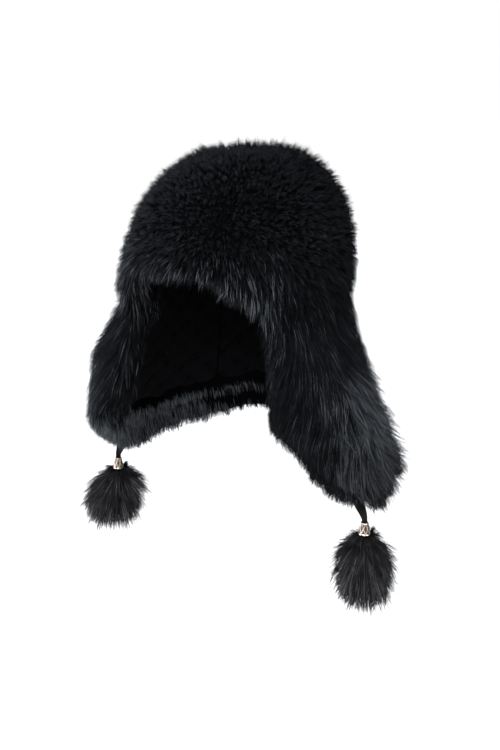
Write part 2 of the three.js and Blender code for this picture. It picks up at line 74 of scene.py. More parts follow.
# %% Camera
camera_data = bpy.data.cameras.new("camera")
camera_data.lens = 50
camera_data.sensor_width = 36
camera = bpy.data.objects.new("camera", camera_data)
camera.location = (0.5344, -0.8453, 0.133)
camera.rotation_euler = (math.radians(71.4), 0, math.radians(31.8))
bpy.context.scene.collection.objects.link(camera)
bpy.context.scene.camera = camera
print("camera at", tuple(round(x, 3) for x in camera.location))

# %% [markdown]
# Black fur is hard to light, because its shape shows only in the shine along each hair. Small lamps
# would give it hard glints, and a bright surround alone would leave one black patch, so square soft
# lights are used. A broad one in front makes hairs that lie across the view shine and leaves those
# that point at it dark. One at each side picks out a flap, and one behind shows the hat's back.

# %% Lights
HAT_MIDDLE = (0, 0, -0.16)
FAR_FLAP = (-0.14, 0.0, -0.25)
LIGHT_COLOUR = (0.92, 0.95, 1.0)
SOFTBOXES = {
    # name: place and aim in metres, width in metres, power in watts
    "key_softbox": ((0.3, -1.25, 0.95), HAT_MIDDLE, 0.8, 60),
    "far_softbox": ((-1.3, -1.0, 0.05), FAR_FLAP, 0.6, 42),
    "near_softbox": ((1.6, -0.3, 0.35), HAT_MIDDLE, 0.6, 18),
    "back_softbox": ((-0.2, 1.8, 0.15), HAT_MIDDLE, 1.0, 18),
}
for name, (place, aim, width, power) in SOFTBOXES.items():
    data = bpy.data.lights.new(name, "AREA")
    data.size = width
    data.energy = power
    data.color = LIGHT_COLOUR
    light = bpy.data.objects.new(name, data)
    light.location = place
    light.rotation_euler = (Vector(aim) - Vector(place)).to_track_quat("-Z", "Y").to_euler()
    bpy.context.scene.collection.objects.link(light)
bpy.context.scene.view_settings.view_transform = "Standard"
print("lights:", list(SOFTBOXES))

# %% [markdown]
# A material is a small program. It could be drawn node by node, but wrapping a socket in a class
# with operators lets it be written as plain sums: each + or * adds its Math node, and one method
# adds every other kind of node.

# %% A socket that does sums
class Wire:
    """A value that flows between nodes. Its operators add Math nodes."""

    def __init__(self, graph, socket):
        self.graph = graph
        self.socket = socket

    def math(self, operation, first, second):
        return self.graph.add("ShaderNodeMath", {"operation": operation}, {0: first, 1: second})

    def __add__(self, other):
        return self.math("ADD", self, other)

    def __radd__(self, other):
        return self.math("ADD", other, self)

    def __sub__(self, other):
        return self.math("SUBTRACT", self, other)

    def __rsub__(self, other):
        return self.math("SUBTRACT", other, self)

    def __mul__(self, other):
        return self.math("MULTIPLY", self, other)

    def __rmul__(self, other):
        return self.math("MULTIPLY", other, self)

    def __pow__(self, other):
        return self.math("POWER", self, other)

    def at_least(self, other):
        return self.math("MAXIMUM", self, other)

    def at_most(self, other):
        return self.math("MINIMUM", self, other)


print("a socket that does sums is ready")

# %% A graph that adds nodes
class Graph:
    """A tree of nodes, where every node comes from add."""

    def __init__(self, tree):
        self.nodes = tree.nodes
        self.links = tree.links

    def put(self, socket, value):
        """Links a wire to a socket, or sets the socket's own value."""
        if isinstance(value, Wire):
            self.links.new(value.socket, socket)
        else:
            socket.default_value = value

    def add(self, kind, settings=None, sockets=None, out=0):
        """A node of this kind, its settings first, then its sockets' values or links."""
        node = self.nodes.new(kind)
        for key, value in (settings or {}).items():
            setattr(node, key, value)
        for key, value in (sockets or {}).items():
            self.put(node.inputs[key], value)
        return Wire(self, node.outputs[out])


print("a graph that adds nodes is ready")

# %% A finish
class Finish(Graph):
    """One material: its nodes, and the shader at their end."""

    def __init__(self, name, **constants):
        self.material = bpy.data.materials.new(name)
        self.material.use_nodes = True
        super().__init__(self.material.node_tree)
        self.shader = self.nodes["Principled BSDF"]
        for socket, value in constants.items():
            self.shader.inputs[socket.replace("_", " ")].default_value = value

    def attribute(self, name):
        return self.add("ShaderNodeAttribute", {"attribute_name": name}, out="Fac")

    def place(self):
        return self.add("ShaderNodeTexCoord", out="Object")

    def noise(self, vector, scale, detail=3.0):
        return self.add("ShaderNodeTexNoise", None, {"Vector": vector, "Scale": scale, "Detail": detail})

    def blend(self, factor, first, second):
        """A colour between two colours."""
        return self.add("ShaderNodeMix", {"data_type": "RGBA"}, {0: factor, 6: first, 7: second}, out=2)

    def stretch(self, vector, scale):
        return self.add("ShaderNodeMapping", None, {"Vector": vector, "Scale": scale})

    def bump(self, height, distance):
        sockets = {"Height": height, "Distance": distance, "Strength": 1.0}
        self.feed("Normal", self.add("ShaderNodeBump", None, sockets))

    def feed(self, socket, wire):
        self.put(self.shader.inputs[socket], wire)


print("a finish is ready")

# %% [markdown]
# The fur is near black with a cool grey shine. One colour for all of it would look like felt, so
# each hair carries two numbers: how far along it a point is, and a tone, which differs at random and
# also carries painted shine and shade by place. The root stays blackest. A smooth coat gives the
# shine, and both it and the paler tip grow steeply with the tone, so that only some hairs glint. The
# paler tip is partly the hair's own silver and partly painted sheen.

# %% Fur finishes
GLINT_POWER = 2.5
SILVER_AND_SHEEN_POWER = 5
LEAST_SILVER = 0.06
HAIR_ROUGHNESS = 0.75
HAIR_COAT_IOR = 1.6
PELT_FIBRES = 900


def hair_finish(name, root, tip, coat_roughness):
    constants = {"Coat_Roughness": coat_roughness, "Coat_IOR": HAIR_COAT_IOR}
    finish = Finish(name, Specular_IOR_Level=0.0, **constants)
    along = finish.attribute("along")
    tone = finish.attribute("tone")
    glint = tone ** GLINT_POWER
    # The paler tip is partly the hair's own silver and partly painted sheen, where the tone carries painted
    # shine.
    silver_and_painted_sheen = tone ** SILVER_AND_SHEEN_POWER
    paler = along * (LEAST_SILVER + silver_and_painted_sheen * (1 - LEAST_SILVER))
    finish.feed("Base Color", finish.blend(paler, root, tip))
    finish.feed("Roughness", HAIR_ROUGHNESS - glint * 0.2)
    finish.feed("Coat Weight", glint * (0.3 + along * 0.7))
    return finish.material


def pelt_finish(name, dark, pale):
    finish = Finish(name, Specular_IOR_Level=0.0)
    place = finish.stretch(finish.place(), (1, 1, 0.3))
    fibres = finish.noise(place, PELT_FIBRES, 4)
    finish.feed("Base Color", finish.blend(fibres, dark, pale))
    finish.feed("Roughness", HAIR_ROUGHNESS + fibres * 0.2)
    finish.bump(fibres, 0.0015)
    return finish.material


fur_hair = hair_finish("fur_hair", (0.0010, 0.0010, 0.0014, 1), (0.152, 0.165, 0.18, 1), 0.2)
pompom_hair = hair_finish("pompom_hair", (0.002, 0.0019, 0.002, 1), (0.19, 0.18, 0.185, 1), 0.24)
fur_pelt = pelt_finish("fur_pelt", (0.0008, 0.0008, 0.001, 1), (0.002, 0.002, 0.0025, 1))
print("finishes:", fur_hair.name, pompom_hair.name, fur_pelt.name)

# %% [markdown]
# Under the hairs lies the pelt, one sewn skin over the crown, the flaps and the nape. It could be
# modelled anew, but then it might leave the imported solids, so it is made from them: swollen by a
# hair's breadth so that the seams close, and remeshed as one. Its locks are melted away and it is
# drawn in, so that the hairs on it end where the solids' outside was. It is drawn in by short steps
# with a melt before each, because one long step would fold it at its corners.

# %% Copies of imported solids
FURS = ["crown_fur", "ear_flap_left_fur", "ear_flap_right_fur", "nape_fur"]
WALLS = ["crown_shell", "ear_flap_left_shell", "ear_flap_right_shell", "nape_shell"]


def packed_copy(names):
    """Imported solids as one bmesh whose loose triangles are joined."""
    bm = bmesh.new()
    for name in names:
        bm.from_mesh(nodes[name].data)
    bmesh.ops.remove_doubles(bm, verts=bm.verts, dist=1e-5)
    return bm


def tree_of(names):
    """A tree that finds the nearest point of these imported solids."""
    bm = packed_copy(names)
    tree = BVHTree.FromBMesh(bm)
    bm.free()
    return tree


def place_mesh(name, mesh, material):
    """A finished, smooth-shaded piece that rides on the hat."""
    mesh.shade_smooth()
    mesh.materials.append(material)
    piece = bpy.data.objects.new(name, mesh)
    bpy.context.scene.collection.objects.link(piece)
    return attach(piece, "root")


def with_modifier(mesh, kind, **settings):
    """The mesh that a modifier makes of this one."""
    helper = bpy.data.objects.new("helper", mesh)
    bpy.context.scene.collection.objects.link(helper)
    modifier = helper.modifiers.new(kind, kind)
    for key, value in settings.items():
        setattr(modifier, key, value)
    graph = bpy.context.evaluated_depsgraph_get()
    made = bpy.data.meshes.new_from_object(helper.evaluated_get(graph))
    bpy.data.objects.remove(helper)
    return made


print("packed faces:", {name: len(nodes[name].data.polygons) for name in FURS})

# %% Remesh, melt and draw in
MELT_PULL = 0.5
MELT_PUSH = -0.51
SINK_STEPS = 3


def remeshed(names, grid, swell=0.0):
    """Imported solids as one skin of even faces, swollen first so that their seams close."""
    bm = packed_copy(names)
    bm.normal_update()
    for v in bm.verts:
        v.co += v.normal * swell
    mesh = bpy.data.meshes.new("swollen")
    bm.to_mesh(mesh)
    bm.free()
    return with_modifier(mesh, "REMESH", mode="VOXEL", voxel_size=grid)


def melt(bm, verts, rounds):
    """Smooths bumps away without shrinking the whole: each pull in is followed by a push out."""
    axes = {"use_axis_x": True, "use_axis_y": True, "use_axis_z": True}
    for _ in range(rounds):
        bmesh.ops.smooth_vert(bm, verts=verts, factor=MELT_PULL, **axes)
        bmesh.ops.smooth_vert(bm, verts=verts, factor=MELT_PUSH, **axes)


def drawn_in(mesh, rounds, sink_at, keep=None):
    """The mesh melted and drawn in along its normals, apart from the vertices that keep names."""
    bm = bmesh.new()
    bm.from_mesh(mesh)
    outer = [v for v in bm.verts if not (keep and keep(v))]
    for _ in range(SINK_STEPS):
        melt(bm, outer, rounds)
        bm.normal_update()
        moved = [(v, v.co - v.normal * sink_at(v) / SINK_STEPS) for v in outer]
        for v, co in moved:
            v.co = co
    bm.to_mesh(mesh)
    bm.free()
    return mesh


print("steps to draw a pelt in:", SINK_STEPS)

# %% How far the pelt is drawn in
CROWN_SINK = 0.0015
TOP_SINK = 0.002
FLAP_SINK = 0.004
SEAM_SINK = 0.0035
CORNER_SINK = 0.006
FACE_RISE = 0.001


def smoothstep(x, low, high):
    """0 below low and 1 above high, with a soft rise between."""
    t = np.clip((x - low) / (high - low), 0, 1)
    return t * t * (3 - 2 * t)


def pelt_sink(v):
    """How far the pelt is drawn in: least round the crown's side and at the flaps' lower edges."""
    co, normal = v.co, v.normal
    top = float(smoothstep(co.z, -0.03, 0.01))
    low = float(smoothstep(-co.z, 0.09, 0.15))
    away = math.degrees(abs(math.atan2(co.x, -co.y)))
    edge = float(smoothstep(-normal.z, 0.05, 0.5) * (1 - smoothstep(away, 95, 115)))
    near_face = float(1 - smoothstep(away, 62, 72))
    far = float(smoothstep(-co.x, 0.06, 0.1))
    near = smoothstep(co.x, 0.04, 0.08)
    behind = float(near * smoothstep(away, 98, 112))
    seam = float(1 - smoothstep(-co.z, 0.16, 0.2))
    corner = float(near * smoothstep(away, 85, 93) * smoothstep(-co.z, 0.26, 0.3))
    sink = CROWN_SINK + TOP_SINK * top + FLAP_SINK * low * (1 - 0.8 * edge) * (1 - 0.5 * far)
    extra = SEAM_SINK * behind * seam + CORNER_SINK * corner - FACE_RISE * edge * near_face
    return sink + low * extra


print("smallest sink:", CROWN_SINK, "m")

# %% One pelt over crown, flaps and nape
SEAM_SWELL = 0.0006
PELT_GRID = 0.005
PELT_MELT = 40
KEPT_BY_WALL = 0.0045
wall_tree = tree_of(WALLS)


def by_wall(v):
    """Where the pelt lies against the wall it stays as it is."""
    return wall_tree.find_nearest(v.co)[3] <= KEPT_BY_WALL


pelt_mesh = drawn_in(remeshed(FURS, PELT_GRID, SEAM_SWELL), PELT_MELT, pelt_sink, by_wall)
fur_skin = place_mesh("fur_pelt", pelt_mesh, fur_pelt)
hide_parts(*FURS)
print("fur_pelt:", len(fur_skin.data.polygons), "faces")

# %% [markdown]
# Deep fur is tens of thousands of hairs that lean the same way and cling together in locks. Hair
# particles are quick to comb but aren't a mesh, and a bumpy skin has no hairs at its rim, so every
# hair here is a closed spike with three sides. Hairs are numbers first: their roots are scattered
# evenly over the pelt, each leans from the pelt's normal towards the way it is combed, and
# neighbours draw together into locks. Then all the hairs of a piece become one mesh.

# %% Scatter roots over the pelt
BARE_BY_WALL = 0.0025


def unit(vectors):
    """The same directions, each 1 long."""
    return vectors / np.maximum(np.linalg.norm(vectors, axis=1, keepdims=True), 1e-9)


def numbers(collection, name, kind, width):
    """One property of all of a mesh's vertices or triangles, as rows."""
    values = np.zeros(len(collection) * width, kind)
    collection.foreach_get(name, values)
    return values.reshape(-1, width)


class Skin:
    """The triangles of a pelt that show, to scatter roots on."""

    def __init__(self, piece, wall_tree=None):
        mesh = piece.data
        mesh.calc_loop_triangles()
        self.co = numbers(mesh.vertices, "co", float, 3)
        self.normal = numbers(mesh.vertices, "normal", float, 3)
        self.tris = numbers(mesh.loop_triangles, "vertices", int, 3)
        a, b, c = (self.co[self.tris[:, i]] for i in range(3))
        self.area = np.linalg.norm(np.cross(b - a, c - a), axis=1) / 2
        self.middle = (a + b + c) / 3
        if wall_tree:
            gap = np.array([wall_tree.find_nearest(p)[3] for p in self.middle])
            self.area = np.where(gap > BARE_BY_WALL, self.area, 0)

    def scatter(self, share, count, rng):
        """Roots and normals, spread by area times share, which is a number for each triangle."""
        weight = self.area * share
        corners = self.tris[rng.choice(len(self.tris), count, p=weight / weight.sum())]
        a, b = rng.random((2, count, 1))
        flip = a + b > 1
        a, b = np.where(flip, 1 - a, a), np.where(flip, 1 - b, b)
        mixed = [
            v[corners[:, 0]] * (1 - a - b) + v[corners[:, 1]] * a + v[corners[:, 2]] * b
            for v in (self.co, self.normal)
        ]
        return mixed[0], unit(mixed[1])


skin = Skin(fur_skin, wall_tree)
skin_bm = bmesh.new()
skin_bm.from_mesh(fur_skin.data)
skin_tree = BVHTree.FromBMesh(skin_bm)
skin_bm.free()
print("the pelt shows", round(skin.area.sum() * 1e4), "square cm")

# %% Lay each hair along its comb and draw them into locks
WAVE_COUNT = 5
WAVE_HEIGHT = 3.2


def waves(points, pitch, rng):
    """A smooth random number for each point, about -1 to 1, that changes over about pitch metres."""
    total = np.zeros(len(points))
    for _ in range(WAVE_COUNT):
        direction = unit(rng.normal(size=(1, 3)))[0]
        turns = 2 * math.pi / pitch * rng.uniform(0.6, 1.4)
        total += np.sin(points @ direction * turns + rng.uniform(0, 7))
    return total / WAVE_HEIGHT


def lay(roots, normals, comb, lean_root, lean_tip, length, droop, rings):
    """Centre lines of hairs, rings points each: they lean from the normal towards comb and droop."""
    lines = [roots]
    here = roots
    for i in range(1, rings):
        share = (i - 0.5) / (rings - 1)
        lean = lean_root + (lean_tip - lean_root) * share
        direction = normals * np.cos(lean)[:, None] + comb * np.sin(lean)[:, None]
        direction[:, 2] -= droop * share
        here = here + unit(direction) * (length / (rings - 1))[:, None]
        lines.append(here)
    return np.stack(lines, 1)


def into_locks(lines, locks, pull, rng):
    """Each hair's outer part is drawn towards the hair at the heart of its lock, by its own pull."""
    hearts = rng.choice(len(lines), locks, replace=False)
    tree = KDTree(locks)
    for i, root in enumerate(lines[hearts, 0]):
        tree.insert(root, i)
    tree.balance()
    nearest = np.array([tree.find(root)[1] for root in lines[:, 0]])
    heart = lines[hearts][nearest]
    rings = lines.shape[1]
    share = np.arange(rings) / (rings - 1)
    amount = (pull * rng.uniform(0.6, 1.0, len(lines)))[:, None, None] * share[None, :, None]
    return lines + (heart - lines) * amount, nearest


print("hairs can be laid and drawn into locks")

# %% Turn centre lines into closed three-sided spikes
SPIKE_SIDES = 3
SPIKE_TAPER = 0.35


def spike_faces(rings):
    """One spike's triangles: its foot, its sides ring by ring, and its point."""
    faces = [(0, 2, 1)]
    for ring in range(rings - 2):
        low, high = SPIKE_SIDES * ring, SPIKE_SIDES * ring + SPIKE_SIDES
        for i in range(SPIKE_SIDES):
            j = (i + 1) % SPIKE_SIDES
            faces += [(low + i, low + j, high + j), (low + i, high + j, high + i)]
    last = SPIKE_SIDES * (rings - 2)
    tip = SPIKE_SIDES * (rings - 1)
    faces += [(last + i, last + (i + 1) % SPIKE_SIDES, tip) for i in range(SPIKE_SIDES)]
    return np.array(faces)


def spikes(lines, radius, rng):
    """Vertices, faces and share along for hairs that end in a point, and the vertices of each."""
    count, rings = lines.shape[:2]
    along = unit(lines[:, -1] - lines[:, 0])
    side = unit(np.cross(along, unit(rng.normal(size=(count, 3)))))
    other = np.cross(along, side)
    turns = np.arange(SPIKE_SIDES) * (2 * math.pi / SPIKE_SIDES)
    width = SPIKE_SIDES * (rings - 1) + 1
    points = np.zeros((count, width, 3))
    for ring in range(rings - 1):
        size = radius * (1 - SPIKE_TAPER * ring / (rings - 1))
        for corner, turn in enumerate(turns):
            offset = side * math.cos(turn) + other * math.sin(turn)
            points[:, SPIKE_SIDES * ring + corner] = lines[:, ring] + offset * size[:, None]
    points[:, -1] = lines[:, -1]
    faces = spike_faces(rings)[None] + (np.arange(count) * width)[:, None, None]
    share = np.append(np.repeat(np.arange(rings - 1), SPIKE_SIDES), rings - 1) / (rings - 1)
    return points.reshape(-1, 3), faces.reshape(-1, 3), np.tile(share, count), width


print("a hair of 3 rings has", len(spike_faces(3)), "triangles")

# %% Join hairs in one mesh
def hair_piece(name, batches, material):
    """One mesh from several batches of hairs: each is (lines, radius, tone, rng)."""
    points, faces, alongs, tones, start = [], [], [], [], 0
    for lines, radius, tone, rng in batches:
        p, f, along, width = spikes(lines, radius, rng)
        points.append(p)
        faces.append(f + start)
        alongs.append(along)
        tones.append(np.repeat(tone, width))
        start += len(p)
    points, faces = np.concatenate(points), np.concatenate(faces)
    mesh = bpy.data.meshes.new(name)
    mesh.vertices.add(len(points))
    mesh.vertices.foreach_set("co", points.astype(np.float32).ravel())
    mesh.loops.add(faces.size)
    mesh.loops.foreach_set("vertex_index", faces.astype(np.int32).ravel())
    mesh.polygons.add(len(faces))
    mesh.polygons.foreach_set("loop_start", np.arange(0, faces.size, 3, dtype=np.int32))
    mesh.update(calc_edges=True)
    for attribute, values in (("along", alongs), ("tone", tones)):
        data = mesh.attributes.new(attribute, "FLOAT", "POINT").data
        data.foreach_set("value", np.concatenate(values).astype(np.float32))
    piece = place_mesh(name, mesh, material)
    print(name, len(faces), "triangles, box", points.min(0).round(3), points.max(0).round(3))
    return piece


def thickness(radius, count, rng):
    """A radius for each hair, round this one."""
    return radius * rng.uniform(0.75, 1.2, count)


print("hairs can be joined")

# %% [markdown]
# On the crown the hair stands out short and dense, and leans down more and more towards the brow
# and the hem. On the flaps and the nape it is long, lies close and fans out towards the edges.
# Guide hairs set by hand could show this, but rules in numbers dress the unseen back as well. They
# go by the height under the crown's top and by the angle round the hat.

# %% Which way the hair is combed
LEFT_PARTING = math.radians(92)
RIGHT_FAN = -1.5


def turn_of(points):
    """The angle round the hat: 0 at the front, positive on the wearer's left, in radians."""
    return np.arctan2(points[:, 0], -points[:, 1])


def comb_down(points, normals, spread, fan, swirl):
    """The way hairs are combed: down, away from the crown's middle, and fanning over each flap."""
    level = unit(points * (1, 1, 0))
    around = np.stack([-level[:, 1], level[:, 0], np.zeros(len(points))], 1)
    turn = turn_of(points)
    near_fan = np.sin(2 * (turn - LEFT_PARTING))
    far_fan = RIGHT_FAN * (1 - smoothstep(-points[:, 2], 0.15, 0.28))
    fanned = fan * np.where(turn > 0, near_fan, far_fan)
    wish = np.array([0, 0, -1.0]) + level * spread[:, None] + around * (fanned + swirl)[:, None]
    wish -= normals * (wish * normals).sum(1, keepdims=True)
    return unit(wish)


print("parting on the left flap at", round(math.degrees(LEFT_PARTING)), "degrees")

# %% How long the hair is, and how far it leans
CROWN_LENGTH = 0.0115
HEM_LENGTH = 0.0105
FLAP_LENGTH = 0.014
CROWN_LEAN = 18
HEM_LEAN = 34
FLAP_LEAN = 8
SWIRL_PITCH = 0.045


def by_face(points, normals):
    """1 on the left flap's edge between brow and cheek, where the fur is trimmed short."""
    away = np.degrees(np.abs(turn_of(points)))
    drop = -points[:, 2]
    facing = 1 - np.abs((normals * unit(points * (1, 1, 0))).sum(1))
    edge = smoothstep(facing, 0.25, 0.6) * smoothstep(away, 28, 38) * (1 - smoothstep(away, 58, 66))
    edge = edge * smoothstep(points[:, 0], -0.02, 0.02)
    return edge * smoothstep(drop, 0.075, 0.09) * (1 - smoothstep(drop, 0.18, 0.22))


def fullness(points, normals):
    """The share of its length that the hair grows to: short on the inner lip and by the face."""
    gap = np.array([wall_tree.find_nearest(point)[3] for point in points])
    return (0.35 + 0.65 * smoothstep(gap, 0.003, 0.008)) * (1 - 0.65 * by_face(points, normals))


def rule(points, normals, rng):
    """Comb, lean at root and tip, and length at each root, with low and skirt. low goes from crown to
    flaps.
    """
    z = points[:, 2]
    side = smoothstep(np.abs(turn_of(points)), 0.5, 0.9)
    temple = smoothstep(np.abs(turn_of(points)), 0.95, 1.25)
    low = smoothstep(-z - 0.03 * temple, 0.02, 0.1)
    skirt = smoothstep(-z, 0.105, 0.15) * side
    swirl = -0.35 * low * (1 - 0.6 * skirt) + 0.2 * waves(points, SWIRL_PITCH, rng)
    comb = comb_down(points, normals, 0.45 * (1 - low), 0.4 * skirt, swirl)
    lean_root = np.radians(CROWN_LEAN + HEM_LEAN * low + FLAP_LEAN * skirt)
    lean_tip = lean_root + np.radians(10 + 8 * low)
    length = CROWN_LENGTH + HEM_LENGTH * low**2 + FLAP_LENGTH * skirt
    return comb, lean_root, lean_tip, length, low, skirt


print("longest hair:", round(CROWN_LENGTH + HEM_LENGTH + FLAP_LENGTH, 4), "m")

# %% Keep hairs close to the pelt and in the object's room
ROOM_SHARE = 0.03
ROOM_MORE = 0.0085
ROOM = np.array(cad_high - cad_low) * ROOM_SHARE + ROOM_MORE
ROOM_LOW, ROOM_HIGH = np.array(cad_low) - ROOM, np.array(cad_high) + ROOM


def kept_in_room(lines):
    """Hairs that would leave the object's room are shortened to end at its side."""
    root, tip = lines[:, 0], lines[:, -1]
    reach = np.where(tip > root, ROOM_HIGH - root, root - ROOM_LOW)
    share = np.clip(reach / np.maximum(np.abs(tip - root), 1e-6), 0, 1).min(1)
    return root[:, None] + (lines - root[:, None]) * share[:, None, None]


def pressed(lines, most):
    """Hairs laid closer: no point of a hair stands further from the pelt than its own most allows."""
    lines = lines.copy()
    for ring in range(1, lines.shape[1]):
        limit = most * ring / (lines.shape[1] - 1)
        for i, point in enumerate(lines[:, ring]):
            near, _, _, gap = skin_tree.find_nearest(point)
            if gap > limit[i]:
                lines[i, ring] += (np.array(near) - point) * (1 - limit[i] / gap)
    return lines


print("room round the solids:", ROOM.round(4), "m")

# %% Tones: painted shine and shade on the fur
def painted_shine_and_shade(points, low, skirt):
    """Painted shine and shade on the tone: a painted highlight half way down the flaps, most on the far
    flap, and painted shade on the lower flanks, below the brow and on the crown.
    """
    drop = -points[:, 2]
    away = np.degrees(np.abs(turn_of(points)))
    far = smoothstep(-points[:, 0], 0.04, 0.08)
    # Painted highlight: a band half way down the flaps' outer sides, stronger on the far flap.
    highlight_band = smoothstep(drop + 0.05 * far, 0.13, 0.19)
    highlight_band = highlight_band * (1 - (0.55 - 0.35 * far) * smoothstep(drop, 0.24, 0.29))
    painted_highlight = highlight_band * skirt * smoothstep(away, 56 - 5 * far, 82 - 15 * far)
    below_brow = smoothstep(drop, 0.105, 0.14)
    # Painted shade on the lower flanks and below the brow, outside the painted highlight; the crown is
    # darkened as a whole.
    shade = low * np.maximum(smoothstep(away, 44, 60), below_brow) * (1 - painted_highlight)
    return (0.2 + 0.35 * far) * painted_highlight - 0.5 * shade - 0.38 * (1 - low)


def tones(roots, low, skirt, lock, kind, rng):
    """A tone for each hair, near that of its lock, with painted shine and shade added. A painted lift keeps
    the crown's middle from going quite black, and is smaller at its top.
    """
    count = len(roots)
    spread = 0.09 + 0.17 * low
    # Painted light and shade on the crown: a floor that lifts its middle and is lower at its top.
    painted_least_tone = (0.37 - 0.2 * smoothstep(roots[:, 2], -0.06, 0.0)) * (1 - low)
    middle = np.maximum(kind["tone"] + painted_shine_and_shade(roots, low, skirt), painted_least_tone)
    tone = rng.normal(middle, spread, count) + spread * rng.uniform(-1.2, 1.2, count)[lock]
    return np.clip(tone, 0, 1)


print("tones go from 0, dull, to 1, silver")

# %% Coats: dense dark under-fur, long bright guard hairs over it, and stray wisps
# long: share of the rule's length; rise: extra distance from the pelt in metres; lift: degrees that
# a hair stands up; lock: hairs in a lock; rings: points along a hair; radius in metres.
UNDER = {"long": 0.8, "tone": 0.25, "rise": 0.0, "lift": 0.0, "lock": 10, "rings": 2, "radius": 0.00026}
GUARD = {"long": 1.15, "tone": 0.75, "rise": 0.0, "lift": 0.0, "lock": 4, "rings": 3, "radius": 0.00022}
WISP = {"long": 1.2, "tone": 0.4, "rise": 0.014, "lift": 26.0, "lock": 7, "rings": 3, "radius": 0.00018}
WANDER = 0.09
WILD_LIFT = math.radians(38)
ROOT_DEPTH = 0.001
STAND_OFF = 0.011


def coat(share, count, seed, kind):
    """One batch of hairs of one kind on the pelt, where share says."""
    rng = np.random.default_rng(seed)
    roots, normals = skin.scatter(share, count, rng)
    comb, lean_root, lean_tip, length, low, skirt = rule(roots, normals, rng)
    wild = rng.random(count) ** 4
    wander = rng.normal(scale=WANDER, size=count) - math.radians(kind["lift"]) - wild * WILD_LIFT
    rough = unit(normals + rng.normal(scale=0.06, size=normals.shape))
    full = fullness(roots, normals)
    length = length * rng.uniform(0.85, 1.2, count) * kind["long"] * full
    rim = smoothstep(-normals[:, 2], 0.25, 0.7) * smoothstep(-roots[:, 2], 0.05, 0.09)
    lean_root, lean_tip = ((lean + wander) * (1 - 0.85 * rim) for lean in (lean_root, lean_tip))
    start = roots - normals * ROOT_DEPTH
    lines = lay(start, rough, comb, lean_root, lean_tip, length, 0.15 + 0.15 * low, kind["rings"])
    lines, lock = into_locks(lines, count // kind["lock"], 0.85 - 0.5 * low, rng)
    stretch = 1 + (1 - low) * rng.uniform(-0.35, 0.2, count)[lock]
    lines = lines[:, :1] + (lines - lines[:, :1]) * stretch[:, None, None]
    rise = kind["rise"] * smoothstep(-roots[:, 2], 0.09, 0.22)
    most = STAND_OFF - 0.0035 * skirt + 0.002 * rim + 0.008 * wild + rise
    lines = kept_in_room(pressed(lines, most * full))
    tone = tones(roots, low, skirt, lock, kind, rng)
    return lines, thickness(kind["radius"], count, rng), tone, rng


print("coats: under-fur, guard hairs and wisps")

# %% Hair on the crown, the flaps and the nape
CROWN_HEM = -0.118
BROW_HALF = 49
FLAP_BACK = 128
FLAP_WISPS = 900
height = skin.middle[:, 2]
turn = np.degrees(turn_of(skin.middle))
away = np.abs(turn)
on_crown = (height > CROWN_HEM) | (away < BROW_HALF)
behind = (away > 80) & (height < -0.12)
regions = {
    # name: where on the pelt, under-hairs, guard hairs, seed
    "crown_hair_front": (on_crown & (away <= 90), 30000, 7000, 100),
    "crown_hair_back": (on_crown & (away > 90), 18000, 5000, 120),
    "ear_flap_left_hair": (~on_crown & (turn > 0) & (turn < FLAP_BACK), 20000, 9800, 200),
    "ear_flap_right_hair": (~on_crown & (turn < 0) & (turn > -FLAP_BACK), 20000, 9800, 300),
    "nape_hair": (~on_crown & (away >= FLAP_BACK), 12000, 5500, 400),
}
for name, (where, under, guards, seed) in regions.items():
    print(name, round(skin.area[where].sum() * 1e4), "square cm")
    coats = [coat(where, under, seed, UNDER)]
    coats.append(coat(where, guards, seed + 1, GUARD))
    if "flap" in name:
        coats.append(coat(where & behind, FLAP_WISPS, seed + 2, WISP))
    hair_piece(name, coats, fur_hair)

# %% [markdown]
# Each pompom is a tuft of long fur sewn to the strap's end. Hairs set evenly on a ball would look
# like a brush, so they start near the bead and sweep out and down round a small dark core, which is
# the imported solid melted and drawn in. Hairs from the bead's mouth fall over the pompom's top, and
# a few stand up beside the bead.

# %% The pompoms' cores
POMPOM_GRID = 0.0035
POMPOM_MELT = 20
POMPOM_SINK = 0.0045
KNOT_DROP = 0.002


def knot_of(side):
    """Where a pompom's hairs are tied, just under its bead."""
    low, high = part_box(f"bead_{side}")
    return np.array([(low.x + high.x) / 2, (low.y + high.y) / 2, low.z - KNOT_DROP])


def pompom_core(side, knot):
    """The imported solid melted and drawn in, but not near the knot."""
    node = f"pompom_{side}"

    def sink(v):
        return POMPOM_SINK * float(smoothstep((v.co - Vector(knot)).length, 0.004, 0.02))

    core = place_mesh(node + "_core", drawn_in(remeshed([node], POMPOM_GRID), POMPOM_MELT, sink), fur_pelt)
    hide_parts(node)
    return core


print("knots:", knot_of("left").round(4), knot_of("right").round(4))

# %% Hairs over the pompoms' tops
TOP_HAIRS = 620
TOP_RADIUS = 0.00022
TUFT_HAIRS = 60
TUFT_FOOT = (0.0045, 0.0028, 0.0)
TUFT_WAY = (0.45, 0.28, 0.85)
MOUTH_RADIUS = 0.003
MOUTH_RISE = (0, 0, 0.0015)


def falling(count):
    """Straight down, for each of count hairs."""
    return np.tile((0.0, 0.0, -1.0), (count, 1))


